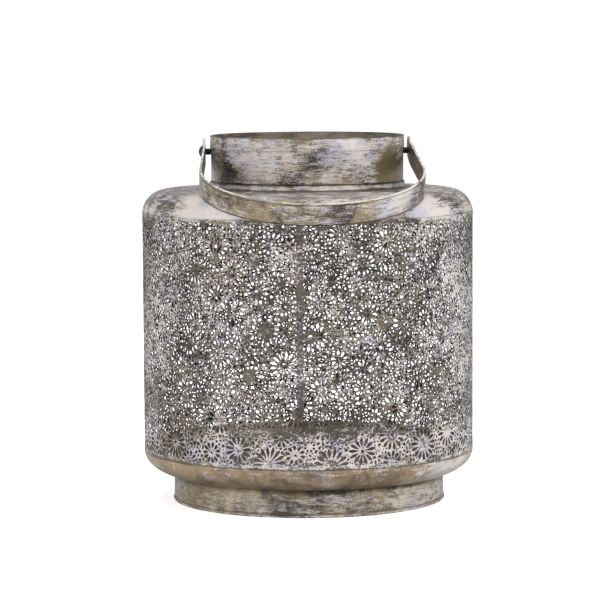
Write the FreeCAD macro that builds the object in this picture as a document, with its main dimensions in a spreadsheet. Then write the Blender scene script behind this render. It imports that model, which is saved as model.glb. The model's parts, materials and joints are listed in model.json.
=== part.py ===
"""Punched tin lantern: a pierced daisy sleeve between a dished bottom pan and a rounded
shoulder, with a short neck, a foot ring and a flat strap handle on two rivets.

Origin: where the lantern's upright axis meets the surface that it stands on. +Z is up,
-Y is the front, where the handle rests, and X runs along the two rivets.
"""
import FreeCAD, Part
import math
import os

import Sketcher
from FreeCAD import Placement, Rotation, Vector

# Driving sizes: millimetres, and plain counts of flowers and petals
SIZES = {
    "body_radius": 140.0,
    "sheet": 1.0,
    "fit_gap": 0.1,
    "foot_radius": 114.7,
    "foot_height": 23.0,
    "foot_wall": 1.2,
    "foot_flange": 8.5,
    "foot_bead": 1.5,
    "foot_bead_flat": 0.3,
    "pan_flat_radius": 113.0,
    "pan_corner_height": 20.0,
    "pan_side_round": 15.5,
    "spigot_height": 3.0,
    "sleeve_height": 201.5,
    "seam_strip_width": 6.0,
    "seam_strip_wall": 0.8,
    "plain_edge": 3.4,
    "flower_columns": 20,
    "flower_rows": 5,
    "flower_petals": 8,
    "flower_radius": 19.6,
    "flower_heart": 5.6,
    "petal_width": 6.6,
    "petal_root": 1.6,
    "filler_radius": 2.4,
    "shoulder_round": 20.0,
    "shoulder_round_drop": 1.5,
    "shoulder_crown": 2.0,
    "guard_height": 4.9,
    "guard_fillet": 2.4,
    "neck_radius": 81.3,
    "neck_height": 43.7,
    "hem_proud": 0.7,
    "hem_gap": 0.3,
    "collar_flange": 4.0,
    "pivot_drop": 13.7,
    "strap_width": 18.3,
    "strap_thickness": 2.0,
    "strap_span": 174.0,
    "strap_bow_radius": 91.7,
    "strap_reach": 173.5,
    "strap_tab": 9.0,
    "strap_tail": 18.0,
    "strap_end_round": 9.0,
    "rest_gap": 0.3,
    "rivet_radius": 2.0,
    "running_gap": 0.05,
    "face_gap": 0.2,
    "rivet_head_radius": 5.5,
    "rivet_head_height": 3.5,
    "rivet_tail_radius": 3.6,
    "rivet_tail_height": 1.6,
    "spacer_radius": 2.65,
    "washer_radius": 6.0,
    "washer_thickness": 1.0,
}

doc = FreeCAD.newDocument("PunchedTinLantern")
sheet = doc.addObject("Spreadsheet::Sheet", "dims")
size = {}


def name_sizes(values):
    """Keep sizes by name, and write each as a plain number in a named cell."""
    for alias, value in values.items():
        size[alias] = float(value)
        row = len(size)
        sheet.set("A%d" % row, alias)
        sheet.set("B%d" % row, repr(float(value)))
        sheet.setAlias("B%d" % row, alias)


def signed_size(alias):
    """The value of a size name, of its opposite when it starts with a minus, or of 0."""
    if alias == 0:
        return 0.0
    if alias.startswith("-"):
        return -size[alias[1:]]
    return size[alias]


def cell_of(alias):
    """The sheet cell of a size name, as an expression."""
    if alias.startswith("-"):
        return "-dims." + alias[1:]
    return "dims." + alias


def new_body(label):
    body = doc.addObject("PartDesign::Body", label)
    body.Label = label
    return body


def new_sketch(body, name, role):
    sketch = body.newObject("Sketcher::SketchObject", name)
    plane = next(f for f in body.Origin.OriginFeatures if f.Role == role)
    sketch.AttachmentSupport = [(plane, "")]
    sketch.MapMode = "FlatFace"
    sketch.Visibility = False
    return sketch


def bend_centre(start, end, radius, bend):
    """The centre of the short arc that leads from start to end, bending left or right."""
    chord = end - start
    towards = Vector(-chord.y, chord.x, 0).normalize()
    if bend == "right":
        towards = towards * -1
    return (start + end) / 2 + towards * math.sqrt(max(radius ** 2 - (chord.Length / 2) ** 2, 0))


def add_edge(sketch, start, end, radius=None, bend=None):
    """Draw a line or an arc; give back its number and which of its ends comes first."""
    if radius is None:
        return sketch.addGeometry(Part.LineSegment(start, end), False), 1, 2
    centre = bend_centre(start, end, radius, bend)
    first, last = (start, end) if bend == "left" else (end, start)
    begin = math.atan2(first.y - centre.y, first.x - centre.x)
    finish = math.atan2(last.y - centre.y, last.x - centre.x)
    while finish < begin:
        finish += 2 * math.pi
    circle = Part.Circle(centre, Vector(0, 0, 1), radius)
    number = sketch.addGeometry(Part.ArcOfCircle(circle, begin, finish), False)
    return (number, 1, 2) if bend == "left" else (number, 2, 1)


def bound_constraint(sketch, label, alias, *what):
    """Add a size constraint and tie it to its cell."""
    number = sketch.addConstraint(Sketcher.Constraint(*what, signed_size(alias)))
    sketch.renameConstraint(number, label)
    sketch.setExpression("Constraints." + label, cell_of(alias))


def add_profile(sketch, corners):
    """Draw a closed outline from size names and tie every corner and arc to the sheet.

    A corner is (x, y), or (x, y, radius, bend) where an arc leads on to the next corner.
    """
    spots = [Vector(signed_size(c[0]), signed_size(c[1]), 0) for c in corners]
    edges = []
    for i, corner in enumerate(corners):
        following = spots[(i + 1) % len(spots)]
        if len(corner) > 2:
            edges.append(add_edge(sketch, spots[i], following, signed_size(corner[2]), corner[3]))
        else:
            edges.append(add_edge(sketch, spots[i], following))
    for i, (number, first, last) in enumerate(edges):
        after, start_of_after, _ = edges[(i + 1) % len(edges)]
        sketch.addConstraint(
            Sketcher.Constraint("Coincident", number, last, after, start_of_after))
    for i, corner in enumerate(corners):
        number, first, _ = edges[i]
        for alias, kind, axis in ((corner[0], "DistanceX", -2), (corner[1], "DistanceY", -1)):
            if alias == 0:
                sketch.addConstraint(Sketcher.Constraint("PointOnObject", number, first, axis))
            else:
                bound_constraint(sketch, "%s%d" % (kind, i), alias, kind, -1, 1, number, first)
        if len(corner) > 2:
            bound_constraint(sketch, "Radius%d" % i, corner[2], "Radius", number)


def add_circle(sketch, label, across, up, radius):
    """Draw a circle tied to the sheet."""
    centre = Vector(signed_size(across), signed_size(up), 0)
    circle = Part.Circle(centre, Vector(0, 0, 1), size[radius])
    number = sketch.addGeometry(circle, False)
    for alias, kind, axis in ((across, "DistanceX", -2), (up, "DistanceY", -1)):
        if alias == 0:
            sketch.addConstraint(Sketcher.Constraint("PointOnObject", number, 3, axis))
        else:
            bound_constraint(sketch, label + kind, alias, kind, -1, 1, number, 3)
    bound_constraint(sketch, label + "Radius", radius, "Radius", number)


def add_turning(body, name, corners, axis="V_Axis", plane="XZ_Plane"):
    """Turn a closed outline into a solid of revolution about one axis of its sketch."""
    sketch = new_sketch(body, name + "_profile", plane)
    add_profile(sketch, corners)
    turning = body.newObject("PartDesign::Revolution", name + "_turning")
    turning.Profile = sketch
    turning.ReferenceAxis = (sketch, [axis])
    turning.Angle = 360.0
    return turning


def build_foot_ring():
    """An upright strip with a flange soldered under the pan and a flattened bead below."""
    bead = size["foot_bead"]
    bead_height = bead - size["foot_bead_flat"]
    bead_radius = size["foot_radius"] - size["foot_wall"] / 2
    half_rest = math.sqrt(bead ** 2 - bead_height ** 2)
    name_sizes({
        "foot_inside": size["foot_radius"] - size["foot_wall"],
        "foot_flange_edge": size["foot_radius"] - size["foot_flange"],
        "foot_flange_under": size["foot_height"] - size["foot_wall"],
        "foot_bead_top": bead_height + math.sqrt(bead ** 2 - (size["foot_wall"] / 2) ** 2),
        "foot_rest_outer": bead_radius + half_rest,
        "foot_rest_inner": bead_radius - half_rest,
    })
    body = new_body("foot_ring")
    add_turning(body, "foot", [
        ("foot_rest_outer", 0, "foot_bead", "left"),
        ("foot_radius", "foot_bead_top"),
        ("foot_radius", "foot_height"),
        ("foot_flange_edge", "foot_height"),
        ("foot_flange_edge", "foot_flange_under"),
        ("foot_inside", "foot_flange_under"),
        ("foot_inside", "foot_bead_top", "foot_bead", "left"),
        ("foot_rest_inner", 0),
    ])
    return body


def build_bottom_pan():
    """A dish of even sheet: flat floor, two tangent arcs, a ledge and a spigot."""
    sheet_wall = size["sheet"]
    side = size["pan_side_round"]
    rise = size["pan_corner_height"]
    across = size["body_radius"] - side - size["pan_flat_radius"]
    floor_round = (across ** 2 + rise ** 2 - side ** 2) / (2 * (rise - side))
    lean = math.atan2(across, floor_round - rise)
    inner_floor_round = floor_round - sheet_wall
    inner_side = side - sheet_wall
    name_sizes({
        "pan_floor_round": floor_round,
        "pan_floor_round_inside": inner_floor_round,
        "pan_side_round_inside": inner_side,
        "pan_join_radius": size["pan_flat_radius"] + floor_round * math.sin(lean),
        "pan_join_height": size["foot_height"] + floor_round * (1 - math.cos(lean)),
        "pan_join_radius_inside": size["pan_flat_radius"] + inner_floor_round * math.sin(lean),
        "pan_join_height_inside": (
            size["foot_height"] + floor_round - inner_floor_round * math.cos(lean)),
        "pan_floor_top": size["foot_height"] + sheet_wall,
        "pan_spigot_top": size["pan_top"] + size["spigot_height"],
        "pan_ledge_under": size["pan_top"] - sheet_wall,
        "pan_ledge_radius": (
            size["body_radius"] - side + math.sqrt(inner_side ** 2 - sheet_wall ** 2)),
    })
    body = new_body("bottom_pan")
    add_turning(body, "pan", [
        (0, "foot_height"),
        ("pan_flat_radius", "foot_height", "pan_floor_round", "left"),
        ("pan_join_radius", "pan_join_height", "pan_side_round", "left"),
        ("body_radius", "pan_top"),
        ("spigot_outside", "pan_top"),
        ("spigot_outside", "pan_spigot_top"),
        ("spigot_inside", "pan_spigot_top"),
        ("spigot_inside", "pan_ledge_under"),
        ("pan_ledge_radius", "pan_ledge_under", "pan_side_round_inside", "right"),
        ("pan_join_radius_inside", "pan_join_height_inside", "pan_floor_round_inside", "right"),
        ("pan_flat_radius", "pan_floor_top"),
        (0, "pan_floor_top"),
    ])
    return body


def build_shoulder_cap():
    """A rounded edge on a spigot, a slightly crowned top and an upturned guard at the neck."""
    sheet_wall = size["sheet"]
    inner_round = size["shoulder_round"] - sheet_wall
    reach_at_seam = math.sqrt(size["shoulder_round"] ** 2 - size["shoulder_round_drop"] ** 2)
    under_lift = size["shoulder_round_drop"] + sheet_wall
    name_sizes({
        "shoulder_flat_radius": size["body_radius"] - size["shoulder_round"],
        "shoulder_seam_radius": size["body_radius"] - size["shoulder_round"] + reach_at_seam,
        "shoulder_round_inside": inner_round,
        "shoulder_under": size["shoulder_top"] - sheet_wall,
        "shoulder_ledge_top": size["sleeve_top"] + sheet_wall,
        "shoulder_ledge_radius": (
            size["body_radius"] - size["shoulder_round"]
            + math.sqrt(inner_round ** 2 - under_lift ** 2)),
        "shoulder_spigot_end": size["sleeve_top"] - size["spigot_height"],
        "guard_inside": size["neck_radius"] + size["fit_gap"],
        "guard_outside": size["neck_radius"] + size["fit_gap"] + sheet_wall,
    })
    name_sizes({
        "guard_fillet_start": size["guard_outside"] + size["guard_fillet"],
        "guard_fillet_top": size["neck_base"] + size["guard_fillet"],
        "neck_base_under": size["neck_base"] - sheet_wall,
        "guard_fillet_inside": size["guard_fillet"] + sheet_wall,
    })
    name_sizes({
        "guard_under_height": size["neck_base_under"] + size["guard_fillet_inside"],
    })
    body = new_body("shoulder_cap")
    add_turning(body, "shoulder", [
        ("spigot_outside", "sleeve_top"),
        ("shoulder_seam_radius", "sleeve_top", "shoulder_round", "left"),
        ("shoulder_flat_radius", "shoulder_top"),
        ("guard_fillet_start", "neck_base", "guard_fillet", "right"),
        ("guard_outside", "guard_fillet_top"),
        ("guard_outside", "guard_top"),
        ("guard_inside", "guard_top"),
        ("guard_inside", "guard_under_height", "guard_fillet_inside", "left"),
        ("guard_fillet_start", "neck_base_under"),
        ("shoulder_flat_radius", "shoulder_under", "shoulder_round_inside", "right"),
        ("shoulder_ledge_radius", "shoulder_ledge_top"),
        ("spigot_inside", "shoulder_ledge_top"),
        ("spigot_inside", "shoulder_spigot_end"),
        ("spigot_outside", "shoulder_spigot_end"),
    ])
    return body


def build_neck_collar():
    """A short tube with a hem folded down to the spacers, a flange and two rivet holes."""
    name_sizes({
        "neck_inside": size["neck_radius"] - size["sheet"],
        "hem_radius": size["neck_radius"] + size["hem_proud"],
        "hem_under": size["pivot_height"] + size["spacer_radius"] + size["hem_gap"],
        "hem_fold": (size["sheet"] + size["hem_proud"]) / 2,
        "hem_fold_start": size["rim"] - (size["sheet"] + size["hem_proud"]) / 2,
        "hem_middle": size["neck_radius"] + (size["hem_proud"] - size["sheet"]) / 2,
        "collar_flange_radius": size["neck_radius"] + size["collar_flange"],
        "collar_flange_top": size["shoulder_under"] - size["fit_gap"],
        "rivet_bore": size["rivet_radius"] + size["running_gap"],
    })
    name_sizes({"collar_flange_under": size["collar_flange_top"] - size["sheet"]})
    body = new_body("neck_collar")
    add_turning(body, "collar", [
        ("neck_inside", "collar_flange_under"),
        ("collar_flange_radius", "collar_flange_under"),
        ("collar_flange_radius", "collar_flange_top"),
        ("neck_radius", "collar_flange_top"),
        ("neck_radius", "hem_under"),
        ("hem_radius", "hem_under"),
        ("hem_radius", "hem_fold_start", "hem_fold", "left"),
        ("hem_middle", "rim", "hem_fold", "left"),
        ("neck_inside", "hem_fold_start"),
    ])
    doc.recompute()
    add_cross_bore(body, "collar_rivet_holes", "pivot_height")
    return body


def add_cross_bore(body, name, height):
    """Drill a bore along X through both sides, at one height on the upright axis."""
    sketch = new_sketch(body, name + "_profile", "YZ_Plane")
    add_circle(sketch, "bore", 0, height, "rivet_bore")
    bore = body.newObject("PartDesign::Pocket", name)
    bore.Profile = sketch
    bore.Type = "ThroughAll"
    bore.Midplane = True
    return bore


def petal_cutter(turn, radius):
    """A tapering slot with a round outer end, standing through the wall on the +X side."""
    root = size["petal_root"] / 2
    half = size["petal_width"] / 2
    shoulder = size["flower_radius"] - half
    root_left = Vector(radius, -root, size["flower_heart"])
    root_right = Vector(radius, root, size["flower_heart"])
    end_left = Vector(radius, -half, shoulder)
    end_right = Vector(radius, half, shoulder)
    tip = Vector(radius, 0, size["flower_radius"])
    outline = Part.Wire([
        Part.makeLine(root_left, end_left),
        Part.Arc(end_left, tip, end_right).toShape(),
        Part.makeLine(end_right, root_right),
        Part.makeLine(root_right, root_left),
    ])
    cutter = Part.Face(outline).extrude(Vector(size["cutter_depth"], 0, 0))
    cutter.rotate(Vector(), Vector(1, 0, 0), turn)
    return cutter


def flower_cutters(angle, height, start_radius):
    """The petals of one daisy, at one place on the wall."""
    petals = []
    step = 360 / size["flower_petals"]
    for number in range(int(size["flower_petals"])):
        petal = petal_cutter(step * (number + 1 / 2), start_radius)
        petal.translate(Vector(0, 0, height))
        petal.rotate(Vector(), Vector(0, 0, 1), angle)
        petals.append(petal)
    return petals


def filler_cutter(angle, height, start_radius):
    """A round hole between three daisies."""
    hole = Part.makeCylinder(
        size["filler_radius"], size["cutter_depth"], Vector(start_radius, 0, height),
        Vector(1, 0, 0))
    hole.rotate(Vector(), Vector(0, 0, 1), angle)
    return hole


def sleeve_cutters(pitch):
    """Every cutter that reaches into one sector of the sleeve."""
    start_radius = size["body_radius"] - size["flower_radius"]
    rows = int(size["flower_rows"])
    lowest = size["pan_top"] + size["plain_edge"]
    row_height = (size["sleeve_height"] - 2 * size["plain_edge"]) / rows
    cutters = []
    for row in range(rows):
        height = lowest + row_height * (row + 1 / 2)
        places = (0,) if row % 2 else (-pitch / 2, pitch / 2)
        for angle in places:
            for petal in flower_cutters(angle, height, start_radius):
                cutters.append(petal)
        if row == rows - 1:
            continue
        inner_places = (-pitch / 2, pitch / 2) if row % 2 else (0,)
        for angle in inner_places:
            spot = height + row_height / 3
            cutters.append(filler_cutter(angle, spot, start_radius))
        for angle in places:
            spot = height + row_height * 2 / 3
            cutters.append(filler_cutter(angle, spot, start_radius))
    return cutters


def is_cut_side(face, pitch):
    """True for the two flat sides along which a sector was parted from its neighbours."""
    if not isinstance(face.Surface, Part.Plane) or abs(face.normalAt(0, 0).z) > 1 / 2:
        return False
    for vertex in face.Vertexes:
        turn = abs(math.atan2(vertex.Y, vertex.X)) - math.radians(pitch / 2)
        if abs(turn) * size["body_radius"] > size["fit_gap"] / 10:
            return False
    return True


def pierced_sector(pitch, plain_side=0):
    """The faces of one pierced sector, without its cut sides.

    A plain side of 1 or -1 keeps a margin for the seam strip along that side.
    """
    low, high = size["pan_top"], size["sleeve_height"]
    blank = Part.makeCylinder(size["body_radius"], high, Vector(0, 0, low), Vector(0, 0, 1), pitch)
    blank = blank.cut(Part.makeCylinder(size["sleeve_inside"], high, Vector(0, 0, low)))
    blank.rotate(Vector(), Vector(0, 0, 1), -pitch / 2)
    margin = (size["seam_strip_width"] + size["petal_width"]) / 2
    cutters = []
    for cutter in sleeve_cutters(pitch):
        centre = cutter.CenterOfMass
        turn = math.atan2(centre.y, centre.x) - plain_side * math.radians(pitch / 2)
        if plain_side == 0 or abs(turn) * size["body_radius"] > margin:
            cutters.append(cutter)
    pierced = blank.cut(cutters)
    return [face for face in pierced.Faces if not is_cut_side(face, pitch)]


def build_sleeve():
    """The sheet of daisies, rolled up with its seam at the back."""
    columns = int(size["flower_columns"])
    pitch = 360 / columns
    middle = pierced_sector(pitch)
    faces = []
    for column in range(columns):
        sector = middle
        if column == 0:
            sector = pierced_sector(pitch, -1)
        elif column == columns - 1:
            sector = pierced_sector(pitch, 1)
        for face in sector:
            turned = face.copy()
            turned.rotate(Vector(), Vector(0, 0, 1), SEAM_ANGLE + pitch * (column + 1 / 2))
            faces.append(turned)
    shell = Part.makeShell(faces)
    solid = Part.Solid(shell)
    if solid.Volume < 0:
        solid.reverse()
    sleeve = doc.addObject("Part::Feature", "perforated_sleeve")
    sleeve.Label = "perforated_sleeve"
    sleeve.Shape = solid
    sleeve.Placement = Placement()
    return sleeve


def build_seam_strip():
    """A narrow strip soldered inside the sleeve, over the seam where its ends meet."""
    outside = size["sleeve_inside"] - size["fit_gap"]
    name_sizes({
        "strip_outside": outside,
        "strip_inside": outside - size["seam_strip_wall"],
        "strip_low": size["pan_spigot_top"] + size["fit_gap"],
        "strip_high": size["shoulder_spigot_end"] - size["fit_gap"],
        "strip_turn": math.degrees(size["seam_strip_width"] / outside),
    })
    body = new_body("sleeve_seam_strip")
    turning = add_turning(body, "seam_strip", [
        ("strip_inside", "strip_low"),
        ("strip_outside", "strip_low"),
        ("strip_outside", "strip_high"),
        ("strip_inside", "strip_high"),
    ], plane="YZ_Plane")
    turning.setExpression("Angle", "dims.strip_turn")
    turning.Midplane = True
    return body


def strap_lowest_lean():
    """The least lean, in degrees, at which the lowered strap rests on the shoulder.

    The strap's lower inner edge is followed round the bow. The handle leans forward from
    level until some point of that edge comes within the rest gap of the shoulder.
    """
    lean = 0.0
    while strap_clearance(lean) > size["rest_gap"]:
        lean += LEAN_STEP
    return lean - LEAN_STEP


def strap_clearance(lean):
    """The least distance from the strap's lower inner edge to the shoulder and sleeve."""
    down, along = math.sin(math.radians(lean)), math.cos(math.radians(lean))
    radius = size["strap_bow_radius"] - size["strap_thickness"] / 2
    centre = size["strap_reach"] - size["strap_bow_radius"]
    flat, rounding = size["shoulder_flat_radius"], size["shoulder_round"]
    round_centre = size["shoulder_top"] - rounding
    slope = size["shoulder_crown"] / (flat - size["guard_fillet_start"])
    least = radius
    for turn in range(QUARTER_TURN + 1):
        across = radius * math.cos(math.radians(turn))
        reach = centre + radius * math.sin(math.radians(turn))
        front = reach * along - size["strap_width"] / 2 * down
        height = size["pivot_height"] - reach * down - size["strap_width"] / 2 * along
        from_axis = math.hypot(across, front)
        if from_axis <= flat:
            gap = height - size["shoulder_top"] - (flat - from_axis) * slope
        elif height >= round_centre:
            gap = math.hypot(from_axis - flat, height - round_centre) - rounding
        else:
            gap = from_axis - size["body_radius"]
        least = min(least, gap)
    return least


def build_bail():
    """A flat strap bent on the flat into a long bow, with round ends bored for the rivets."""
    half = size["strap_span"] / 2
    thick = size["strap_thickness"] / 2
    bow = size["strap_bow_radius"]
    bow_centre = size["strap_reach"] - bow
    rise = bow_centre - size["strap_tab"]
    distance = math.hypot(half, rise)
    splay = math.asin(bow / distance) - math.atan2(half, rise)
    tangent = Vector(math.cos(splay), -math.sin(splay))
    corner = thick * math.tan(splay / 2)
    name_sizes({
        "strap_lean": strap_lowest_lean(),
        "tab_outside": half + thick,
        "tab_inside": half - thick,
        "tab_end_outside": size["strap_tab"] - corner,
        "tab_end_inside": size["strap_tab"] + corner,
        "bow_outside": bow + thick,
        "bow_inside": bow - thick,
        "bow_outside_across": (bow + thick) * tangent.x,
        "bow_outside_along": bow_centre + (bow + thick) * tangent.y,
        "bow_inside_across": (bow - thick) * tangent.x,
        "bow_inside_along": bow_centre + (bow - thick) * tangent.y,
        "bow_outside_reach": size["strap_reach"] + thick,
        "bow_inside_reach": size["strap_reach"] - thick,
    })
    body = new_body("bail_handle")
    sketch = new_sketch(body, "strap_outline", "XY_Plane")
    add_profile(sketch, [
        ("tab_outside", "strap_tail"),
        ("tab_inside", "strap_tail"),
        ("tab_inside", "-tab_end_inside"),
        ("bow_inside_across", "-bow_inside_along", "bow_inside", "right"),
        (0, "-bow_inside_reach", "bow_inside", "right"),
        ("-bow_inside_across", "-bow_inside_along"),
        ("-tab_inside", "-tab_end_inside"),
        ("-tab_inside", "strap_tail"),
        ("-tab_outside", "strap_tail"),
        ("-tab_outside", "-tab_end_outside"),
        ("-bow_outside_across", "-bow_outside_along", "bow_outside", "left"),
        (0, "-bow_outside_reach", "bow_outside", "left"),
        ("bow_outside_across", "-bow_outside_along"),
        ("tab_outside", "-tab_end_outside"),
    ])
    strap = body.newObject("PartDesign::Pad", "strap_width")
    strap.Profile = sketch
    strap.Midplane = True
    strap.setExpression("Length", "dims.strap_width")
    doc.recompute()
    ends = []
    for i, edge in enumerate(strap.Shape.Edges):
        box = edge.BoundBox
        across_the_end = box.XLength > size["strap_thickness"] / 2
        if across_the_end and box.YMin > size["strap_tail"] - size["fit_gap"]:
            ends.append("Edge%d" % (i + 1))
    rounding = body.newObject("PartDesign::Fillet", "strap_ends")
    rounding.Base = (strap, ends)
    rounding.Radius = size["strap_end_round"]
    largest = "%s * dims.strap_width" % END_ROUND_SHARE
    rounding.setExpression("Radius", "min(dims.strap_end_round; %s)" % largest)
    doc.recompute()
    add_cross_bore(body, "strap_bores", 0)
    body.Placement = Placement(Vector(), Rotation(Vector(1, 0, 0), size["strap_lean"]))
    body.setExpression("Placement.Base.z", "dims.pivot_height")
    body.setExpression("Placement.Rotation.Angle", "dims.strap_lean")
    return body


def place_on_side(body, side):
    """Stand a part made along +X at the pivot height, turned round for the left side."""
    turn = 0 if side == "right" else 180
    body.Placement = Placement(Vector(), Rotation(Vector(0, 0, 1), turn))
    body.setExpression("Placement.Base.z", "dims.pivot_height")


def build_rivet(side):
    """A domed head outside the strap, a shank and a peened tail inside the neck."""
    body = new_body("rivet_" + side)
    add_turning(body, "rivet_" + side, [
        ("tail_tip", 0, "tail_dome", "right"),
        ("tail_face", "rivet_tail_radius"),
        ("tail_face", "rivet_radius"),
        ("head_face", "rivet_radius"),
        ("head_face", "rivet_head_radius", "head_dome", "right"),
        ("head_tip", 0),
    ], axis="H_Axis")
    place_on_side(body, side)
    return body


def build_ring(label, side, near, far, radius):
    """A flat ring or a short tube round the rivet."""
    body = new_body(label + "_" + side)
    add_turning(body, label + "_" + side, [
        (near, "rivet_bore"),
        (near, radius),
        (far, radius),
        (far, "rivet_bore"),
    ], axis="H_Axis")
    place_on_side(body, side)
    return body


def name_rivet_sizes():
    """Faces along the rivet, from the washer inside the neck to the head outside the strap."""
    head_radius, head_height = size["rivet_head_radius"], size["rivet_head_height"]
    tail_radius, tail_height = size["rivet_tail_radius"], size["rivet_tail_height"]
    washer_outer = math.sqrt(size["neck_inside"] ** 2 - size["washer_radius"] ** 2)
    name_sizes({
        "washer_outer_face": washer_outer - size["fit_gap"],
        "spacer_inner_face": size["neck_radius"] + size["fit_gap"],
        "spacer_outer_face": size["tab_inside"] - size["face_gap"],
        "head_face": size["tab_outside"] + size["face_gap"],
        "head_dome": (head_radius ** 2 + head_height ** 2) / (2 * head_height),
        "tail_dome": (tail_radius ** 2 + tail_height ** 2) / (2 * tail_height),
    })
    name_sizes({
        "washer_inner_face": size["washer_outer_face"] - size["washer_thickness"],
        "head_tip": size["head_face"] + head_height,
    })
    name_sizes({"tail_face": size["washer_inner_face"] - size["fit_gap"]})
    name_sizes({"tail_tip": size["tail_face"] - tail_height})


def name_shared_heights():
    """Heights and radii that several pieces share, from the floor up."""
    name_sizes({"pan_top": size["foot_height"] + size["pan_corner_height"]})
    name_sizes({"sleeve_top": size["pan_top"] + size["sleeve_height"]})
    name_sizes({
        "shoulder_top": (
            size["sleeve_top"] - size["shoulder_round_drop"] + size["shoulder_round"]),
        "sleeve_inside": size["body_radius"] - size["sheet"],
    })
    name_sizes({
        "neck_base": size["shoulder_top"] + size["shoulder_crown"],
        "spigot_outside": size["sleeve_inside"] - size["fit_gap"],
    })
    name_sizes({
        "guard_top": size["neck_base"] + size["guard_height"],
        "rim": size["neck_base"] + size["neck_height"],
        "spigot_inside": size["spigot_outside"] - size["sheet"],
        "cutter_depth": 2 * size["flower_radius"],
    })
    name_sizes({"pivot_height": size["rim"] - size["pivot_drop"]})


def check_document():
    """Stop if any object failed or any sub-part has no sound solid."""
    for item in doc.Objects:
        if "Invalid" in item.State or "Error" in item.State:
            raise RuntimeError("%s failed: %s" % (item.Label, item.State))
    for part in parts:
        if part.Shape.isNull() or not part.Shape.isValid():
            raise RuntimeError("%s has no valid shape" % part.Label)
        if len(part.Shape.Solids) != 1:
            raise RuntimeError("%s has %d solids" % (part.Label, len(part.Shape.Solids)))


# The seam faces the back, and the handle is lowered in small steps, both in degrees
SEAM_ANGLE = 90
LEAN_STEP = 0.05
# The half bow is followed from its side to its front, a degree at a time
QUARTER_TURN = 90
# The most of the strap's width that the rounding of its ends can take
END_ROUND_SHARE = 0.49

name_sizes(SIZES)
name_shared_heights()
parts = [
    build_foot_ring(),
    build_bottom_pan(),
    build_sleeve(),
    build_shoulder_cap(),
    build_seam_strip(),
    build_neck_collar(),
    build_bail(),
]
name_rivet_sizes()
for side in ("left", "right"):
    parts.append(build_rivet(side))
    parts.append(build_ring("rivet_spacer", side, "spacer_inner_face", "spacer_outer_face",
                            "spacer_radius"))
    parts.append(build_ring("rivet_washer", side, "washer_inner_face", "washer_outer_face",
                            "washer_radius"))

doc.recompute()
check_document()
os.makedirs("parts", exist_ok=True)
for part in parts:
    part.Shape.exportStep("parts/%s.step" % part.Label)
    print("%-22s %10.1f mm3" % (part.Label, part.Shape.Volume))
print("handle rests %.2f degrees below level" % size["strap_lean"])
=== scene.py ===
"""Looks of a punched tin lantern: a sleeve of pierced daisies between a dished pan and a
rounded shoulder, with a short neck, a foot ring and a flat strap handle on two rivets.
"""

import json
import math
import random

import bpy
import numpy as np
from mathutils import Matrix, Vector
from mathutils.geometry import delaunay_2d_cdt


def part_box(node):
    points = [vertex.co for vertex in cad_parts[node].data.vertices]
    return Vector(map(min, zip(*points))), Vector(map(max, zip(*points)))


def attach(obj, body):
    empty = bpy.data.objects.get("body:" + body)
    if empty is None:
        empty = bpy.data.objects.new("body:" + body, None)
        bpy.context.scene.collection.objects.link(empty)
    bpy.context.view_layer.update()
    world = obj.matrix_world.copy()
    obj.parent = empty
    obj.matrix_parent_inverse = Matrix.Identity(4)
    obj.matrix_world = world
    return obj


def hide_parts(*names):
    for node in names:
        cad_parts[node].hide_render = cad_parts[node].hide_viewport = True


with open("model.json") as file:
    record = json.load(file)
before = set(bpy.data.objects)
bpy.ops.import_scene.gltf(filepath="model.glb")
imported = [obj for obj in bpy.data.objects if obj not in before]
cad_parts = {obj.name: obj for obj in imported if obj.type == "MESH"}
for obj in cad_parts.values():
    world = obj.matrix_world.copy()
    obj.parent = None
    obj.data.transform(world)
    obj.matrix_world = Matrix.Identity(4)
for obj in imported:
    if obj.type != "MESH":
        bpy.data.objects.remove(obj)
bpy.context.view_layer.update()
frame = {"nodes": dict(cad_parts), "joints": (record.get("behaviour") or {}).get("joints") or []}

MM = 0.001


def heights(node):
    """A node's lowest and highest point, in millimetres to the hundredth."""
    low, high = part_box(node)
    return round(low.z / MM, 2), round(high.z / MM, 2)


def in_metres(point):
    """The same point in metres, from millimetres."""
    return tuple(number * MM for number in point)


# Sizes of the lantern, in millimetres
BODY_RADIUS = round(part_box("perforated_sleeve")[1].x / MM, 2)
SLEEVE_LOW, SLEEVE_TOP = heights("perforated_sleeve")
FOOT_TOP, FOOT_BEAD_TOP = heights("foot_ring")[1], 2.6
GUARD_TOP = heights("shoulder_cap")[1]
SHOULDER_TOP, GUARD_FOOT = GUARD_TOP - 6.9, GUARD_TOP - 4.9
RIM = heights("neck_collar")[1]
HEM_UNDER = RIM - 10.75
PIVOT_HEIGHT = frame["joints"][0]["pos_m"][2] / MM
STRAP_HALF_WIDTH, STRAP_LEAN_DEG = 9.15, 14.6
# Points that the outer faces look away from
BODY_CENTRE, STRAP_CENTRE = (0, 0, 150), (0, -80, 275)


# Materials

# Paint, warm and cool
PAINT = (0.61, 0.55, 0.515), (0.475, 0.46, 0.52)
# Bare metals, each with its darker tone
BROWN = (0.068, 0.056, 0.044)
BRASS = (0.185, 0.150, 0.105), BROWN
GOLD = (0.27, 0.21, 0.118), BROWN
WARM_GOLD = (0.34, 0.25, 0.158), (0.16, 0.118, 0.076)
DULL_BRASS = (0.145, 0.120, 0.090), (0.050, 0.043, 0.036)
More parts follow.
